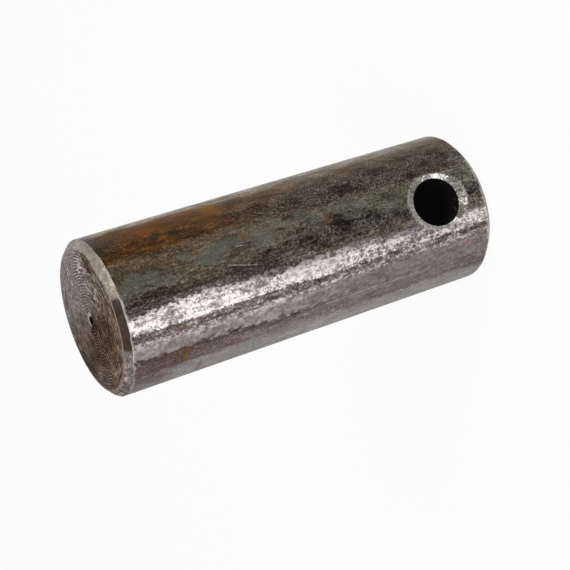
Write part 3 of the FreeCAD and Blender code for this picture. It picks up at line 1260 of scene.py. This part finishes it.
def stained(r):
    """Mauve steel, paler to the right and brown below: the colour, and how stained it is."""
    height = r.total(r.y, r.sway(r.patch, 5), r.sway(r.blotch, 4), r.sway(r.grain, 1.5))
    colour = r.ramp(height, -12, 12, FACE_TONES)
    upper_left = r.step(r.total(r.y, r.product(r.x, -0.6)), -1, 5)
    smooth = r.product(upper_left, r.step(r.noise(1.7, 3, shift=58), 0.5, 0.56, 0.0, 0.5))
    colour = r.mix(smooth, colour, FACE_PINK)
    dirty = r.step(height, 5, -4, 0.0, 0.7)
    ragged = r.total(r.sway(r.blotch, 1.1), r.sway(r.patch, 1.0))
    for across, up, half_width, half_height, tint, strength in FACE_STAINS:
        away = r.oval(r.x, r.y, (across, up), (half_width, half_height))
        mask = r.product(r.step(r.total(away, ragged), 1.5, 0.5, 0.0, strength), r.plain)
        colour = r.mix(mask, colour, tint)
        dirty = r.highest(dirty, mask)
    paler = r.gain(r.math("MULTIPLY_ADD", r.product(r.x, r.plain), 0.011, 0.5), 1.0)
    return r.mix(1.0, colour, paler, "MULTIPLY"), dirty


print("layer 1:", len(FACE_STAINS), "stains on the plain face")


# %% Draw the rings of the facing tool
def ringed(r, colour):
    """Dirt and painted shade in the grooves, and a painted highlight on the ridges between them."""
    wobbly = r.total(r.reach, r.sway(r.patch, 0.12))
    phase = r.math("MULTIPLY_ADD", wobbly, 1 / RING_PITCH, -RING_INNER_RADIUS / RING_PITCH)
    phase = r.math("FRACT", phase)
    first, last = RING_INNER_RADIUS, last_ring_radius
    clear = r.window(r.reach, first - 0.3, first + 0.2, last, last + 0.6)
    clear = r.product(clear, r.step(r.arcs(1.6, 2.5), 0.4, 0.56, 0.3, 1.0))
    clear = r.product(clear, r.step(r.total(r.y, r.sway(r.patch, 6)), -4, 3, 0.6, 1.0))
    # Dirt and painted shade in the grooves, stronger on the upper half
    groove = r.product(clear, r.window(phase, 0.05, 0.25, 0.35, 0.6), 0.85)
    colour = r.mix(groove, colour, GROOVE_DIRT_AND_SHADE)
    # Painted highlight on the ridges
    ridge = r.product(clear, r.window(phase, 0.6, 0.75, 0.85, 1.0), 0.5)
    ridge = r.product(ridge, r.step(r.grain, 0.36, 0.56, 0.3, 1.0))
    return r.mix(ridge, colour, STEEL_HIGHLIGHT)


def flecked(r, colour):
    """Dark flecks beside the pit, and fine light and dark arcs all over."""
    right = r.step(r.total(r.x, r.sway(r.patch, 5)), 0, 4)
    flecks = r.step(r.arcs(0.5, 6), 0.48, 0.56, 0.0, 0.7)
    beside = r.product(flecks, right, r.window(r.y, -5, -1, 6, 9))
    colour = r.mix(beside, colour, FACE_DARK)
    fine = r.total(r.sway(r.arcs(0.2, 6), 0.6), r.sway(r.grain, 0.4), 0.5)
    strength = r.product(r.step(r.blotch, 0.42, 0.6, 0.7, 1.4), r.step(right, 0, 1, 1.3, 2.3))
    return r.mix(1.0, colour, r.gain(fine, strength), "MULTIPLY")


print("layers 2 and 3: dirt in", RING_COUNT, "rings, and flecks")

# %% Colour the rim, the bevel and the pit, with their painted highlights and shade
BEVEL_SHADE_BROWN = paint(66, 56, 49)
BEVEL_SHEEN_OLIVE = paint(148, 140, 127)
BEVEL_SHEEN_PALE = paint(158, 152, 146)
BEVEL_GREY = paint(116, 109, 105)
BEVEL_EDGE_HIGHLIGHT = paint(206, 201, 196)
# Painted light round the bevel: the pale olive stretch is a painted reflection, and the brown stretch
# from -35 to 2 is painted shade.
BEVEL_LIGHT_AND_SHADE = {
    -180: BEVEL_GREY,
    -38: BEVEL_GREY,
    -35: BEVEL_SHADE_BROWN,
    2: BEVEL_SHADE_BROWN,
    6: BEVEL_SHEEN_OLIVE,
    50: BEVEL_SHEEN_OLIVE,
    66: BEVEL_SHEEN_PALE,
    100: BEVEL_GREY,
    180: BEVEL_GREY,
}


def rimmed(r, colour):
    """A painted highlight: a pale line along the rim of the face."""
    edge = PLAIN_FACE_RADIUS
    rim = r.window(r.reach, edge - 0.5, edge - 0.2, edge, edge + 0.1)
    rim = r.product(rim, r.step(r.turn, 70, 10, 0.1, 0.55), r.step(r.grain, 0.36, 0.6, 0.4, 1))
    return r.mix(rim, colour, STEEL_HIGHLIGHT)


def bevelled(r, colour):
    """The bevel in zones of painted reflection and shade, with a painted highlight on its outer edge
    and nicks.
    """
    wavy_turn = r.total(r.turn, r.sway(r.blotch, 5))
    # The standing end's bevel is pale all round, a painted sheen.
    zones = r.mix(r.plain, BEVEL_SHEEN_PALE, r.ramp(wavy_turn, -180, 180, BEVEL_LIGHT_AND_SHADE))
    speckle = r.total(r.sway(r.grain, 0.5), r.sway(r.blotch, 0.7), r.sway(r.patch, 0.3), 0.5)
    strength = r.step(r.turn, -39, -35, 2.0, 0.6)
    zones = r.mix(1.0, zones, r.gain(speckle, strength), "MULTIPLY")
    inner = PLAIN_FACE_RADIUS
    colour = r.mix(r.step(r.reach, inner - 0.02, inner + 0.06), colour, zones)
    # Painted highlight along the outer edge, and on the knocked nicks.
    bright = r.step(r.total(r.reach, r.sway(r.blotch, 0.06)), RADIUS - 0.16, RADIUS - 0.04)
    bright = r.product(bright, r.window(r.turn, -60, -37, 0, 10), 0.75)
    nick = r.step(r.total(r.reach, r.sway(r.blotch, 1.0)), RADIUS - 0.5, RADIUS - 0.1)
    nick = r.product(nick, r.window(r.turn, 8, 14, 30, 40), r.step(r.grain, 0.42, 0.6, 0.1, 0.7))
    return r.mix(r.highest(bright, nick), colour, BEVEL_EDGE_HIGHLIGHT)


def pitted(r, colour):
    """The pit of the plain end, painted black as its shade, with a painted highlight as a pale lip on
    one side.
    """
    wavy_reach = r.total(r.reach, r.sway(r.blotch, 0.3))
    # Painted highlight: a pale lip on one side of the pit
    lip = r.window(wavy_reach, PIT_RADIUS, PIT_RADIUS + 0.15, PIT_RADIUS + 0.4, PIT_RADIUS + 0.8)
    lip = r.product(lip, r.step(r.math("SUBTRACT", r.y, r.x), -0.6, 0.5), r.plain)
    lip = r.product(lip, r.step(r.grain, 0.36, 0.5, 0.4, 0.95))
    colour = r.mix(lip, colour, STEEL_HIGHLIGHT)
    # Painted shade: the pit is painted black
    pit = r.product(r.step(wavy_reach, PIT_RADIUS * 1.25, PIT_RADIUS * 1.0), r.plain)
    return r.mix(pit, colour, PIT_BLACK)


print("layers 4 to 6: the rim, the bevel in", len(BEVEL_LIGHT_AND_SHADE), "zones, and the pit")


# %% Make the faced steel
def make_faced_steel(material):
    """Turned steel with grooves full of dirt and brown stains."""
    r = EndFace(material)
    colour, dirty = stained(r)
    colour = flecked(r, ringed(r, colour))
    colour = pitted(r, bevelled(r, rimmed(r, colour)))
    metal = r.step(dirty, 0, 1, 0.3, 0.0)
    r.finish(colour, metal, rough=0.45, sheen=0.0, relief=r.bump(r.grain, 0.03))


make_faced_steel(finishes[FACED_SLOT])
print("faced steel:", len(finishes[FACED_SLOT].node_tree.nodes), "nodes")

# %% [markdown]
# ## Countersunk steel and the bore
#
# The countersinks are the newest cut on the pin, full of radial chatter from the hand-held tool.
# Their brightness round the hole is painted light and shade: a highlight on one side, and duller
# grey and shade on the others. Inside, the bore is painted black as its shade, with a few specks of
# rust on the wall beside the near end.

# %% Colours round a countersink, by the turn in degrees round the hole, with painted highlight and shade
SINK_HIGHLIGHT = paint(228, 227, 223)
SINK_LIGHT = paint(196, 194, 188)
SINK_GREY = paint(152, 150, 145)
SINK_OLIVE = paint(100, 97, 88)
SINK_DULL = paint(132, 130, 125)
SINK_SHADE = paint(82, 78, 70)
SINK_COLOURS = {
    -180: SINK_GREY,
    -168: SINK_LIGHT,
    -150: SINK_LIGHT,
    -140: SINK_SHADE,
    -115: SINK_SHADE,
    -110: SINK_DULL,
    -104: SINK_GREY,
    -88: SINK_OLIVE,
    -52: SINK_OLIVE,
    -42: SINK_GREY,
    -32: SINK_HIGHLIGHT,
    -8: SINK_HIGHLIGHT,
    2: SINK_GREY,
    16: SINK_LIGHT,
    28: SINK_DULL,
    60: SINK_GREY,
    88: SINK_LIGHT,
    168: SINK_LIGHT,
    180: SINK_GREY,
}
print(len(SINK_COLOURS), "tones round a countersink")


# %% What the layers of a countersink read
class Countersink(Recipe):
    """A recipe that knows the turn round the hole, and noise in spokes that run out from it."""

    def __init__(self, material):
        super().__init__(material)
        self.up = self.math("SUBTRACT", self.z, HOLE_HEIGHT)
        self.turn = self.degrees_round(self.y, self.up)
        self.reach = self.distance(self.up, self.y)
        self.grain = self.noise(0.34, 3, rough=0.7, shift=6)

    def spokes(self, lobes):
        """Noise in spokes, with about that many lobes round the hole."""
        across = self.product(self.math("DIVIDE", self.y, self.reach), lobes)
        up = self.product(self.math("DIVIDE", self.up, self.reach), lobes)
        outwards = self.total(self.product(self.reach, 0.6), self.product(self.x, 0.15))
        return self.cloud(self.node("CombineXYZ", across, up, outwards).outputs[0], 3, 0.7)


print("a countersink reads the turn and the reach round the hole")


# %% Make the countersunk steel
def make_countersunk_steel(material):
    """Steel with radial chatter round the hole, with painted highlight and shade round the cone."""
    r = Countersink(material)
    colour = r.ramp(r.total(r.turn, r.sway(r.grain, 6)), -180, 180, SINK_COLOURS)
    chatter = r.spokes(12)
    tone = r.total(r.sway(chatter, 0.5), r.sway(r.grain, 0.8), 0.5)
    contrast = r.step(r.window(r.turn, 20, 40, 150, 175), 0, 1, 2.2, 1.2)
    colour = r.mix(1.0, colour, r.gain(tone, contrast), "MULTIPLY")
    r.finish(colour, metal=0.35, rough=0.42, relief=r.bump(chatter, 0.12))


make_countersunk_steel(finishes[SUNK_SLOT])
print("countersunk steel:", len(finishes[SUNK_SLOT].node_tree.nodes), "nodes")

# %% Make the rusty bore, painted black as its shade
BORE_SHADE = paint(9, 8, 7)
BORE_RUST = paint(92, 80, 58)


def make_rusty_bore(material):
    """Painted black as the shade inside the hole, with specks of rust on the wall beside the near
    end.
    """
    r = Recipe(material)
    specks = r.step(r.noise(0.45, 4, rough=0.75, shift=40), 0.56, 0.66)
    below = r.step(r.z, HOLE_HEIGHT - 1, HOLE_HEIGHT - 3.4)
    near_mouth = r.step(r.math("ABSOLUTE", r.x), RADIUS - 5, RADIUS - 3)
    specks = r.product(specks, below, r.step(r.y, 1, -1), near_mouth)
    r.finish(r.mix(specks, BORE_SHADE, BORE_RUST), metal=0.1, rough=0.85, sheen=0.1)


make_rusty_bore(finishes[BORE_SLOT])
print("rusty bore:", len(finishes[BORE_SLOT].node_tree.nodes), "nodes")

# %% [markdown]
# ## Floor, backdrop and light
#
# The pin stands on a white sheet under soft lamps. The floor shows white to the camera and in the
# metal's reflections, and still darkens a little where the pin keeps the light away.

# %% Make the white sheet's finish
SHEET_WHITE = paint(243, 243, 243)
FLOOR_OWN_LIGHT = 0.93
SEEN_RAYS = ("Is Camera Ray", "Is Glossy Ray", "Is Transmission Ray")


def make_white_sheet(material):
    """Plain white, and glowing to the camera and in the metal's reflections."""
    r = Recipe(material)
    r.finish(SHEET_WHITE, rough=0.9, sheen=0.0)
    ray = r.node("LightPath")
    seen = r.product(r.highest(*[ray.outputs[name] for name in SEEN_RAYS]), FLOOR_OWN_LIGHT)
    blend = r.node("MixShader", seen, r.shader.outputs[0], r.node("Emission").outputs[0])
    r.give(r.nodes["Material Output"].inputs["Surface"], blend.outputs[0])


white_sheet = bpy.data.materials.new("white_sheet")
make_white_sheet(white_sheet)
print("white sheet:", len(white_sheet.node_tree.nodes), "nodes")

# %% Lay the floor
FLOOR_HALF_WIDTH = 4000

sheet = bmesh.new()
bmesh.ops.create_grid(sheet, x_segments=8, y_segments=8, size=FLOOR_HALF_WIDTH * MM)
floor_mesh = bpy.data.meshes.new("floor")
sheet.to_mesh(floor_mesh)
sheet.free()

floor_mesh.materials.append(white_sheet)
floor = placed("floor", floor_mesh)
print(f"floor {2 * FLOOR_HALF_WIDTH / 1000:.0f} m across")


# %% Hang the lamps
def lamp(name, place, width, height, power):
    """A soft rectangular lamp that points at the middle of the pin, in millimetres and watts."""
    data = bpy.data.lights.new(name, "AREA")
    data.shape = "RECTANGLE"
    data.size = width * MM
    data.size_y = height * MM
    data.energy = power
    light = placed(name, data)
    light.location = Vector(place) * MM
    light.rotation_mode = "QUATERNION"
    aim = Vector((0, 0, LENGTH / 2)) - Vector(place)
    light.rotation_quaternion = aim.to_track_quat("-Z", "Y")


lamp("key", (330, 260, 430), 300, 300, 1.3)
lamp("fill", (120, -420, 260), 400, 300, 0.5)
lamp("strip", (300, -215, 70), 40, 200, 0.3)

# %% Light the room
ROOM_LIGHT = 0.5

world = bpy.data.worlds.new("white_room")
bpy.context.scene.world = world
world.use_nodes = True
room_nodes, room_links = world.node_tree.nodes, world.node_tree.links
backdrop = room_nodes["Background"]
backdrop.inputs["Color"].default_value = (1, 1, 1, 1)

# White where the camera or a reflection sees it, and softer as a lamp
ray = room_nodes.new("ShaderNodeLightPath")
seen = ray.outputs[SEEN_RAYS[0]]
for name in SEEN_RAYS[1:]:
    larger = room_nodes.new("ShaderNodeMath")
    larger.operation = "MAXIMUM"
    room_links.new(seen, larger.inputs[0])
    room_links.new(ray.outputs[name], larger.inputs[1])
    seen = larger.outputs[0]

strength = room_nodes.new("ShaderNodeMapRange")
strength.inputs["To Min"].default_value = ROOM_LIGHT
room_links.new(seen, strength.inputs["Value"])
room_links.new(strength.outputs[0], backdrop.inputs["Strength"])
bpy.context.scene.view_settings.view_transform = "Standard"
print("room light:", ROOM_LIGHT)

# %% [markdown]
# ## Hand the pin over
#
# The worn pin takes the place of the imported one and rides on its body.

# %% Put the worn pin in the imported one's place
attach(pin, "root")
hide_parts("pin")
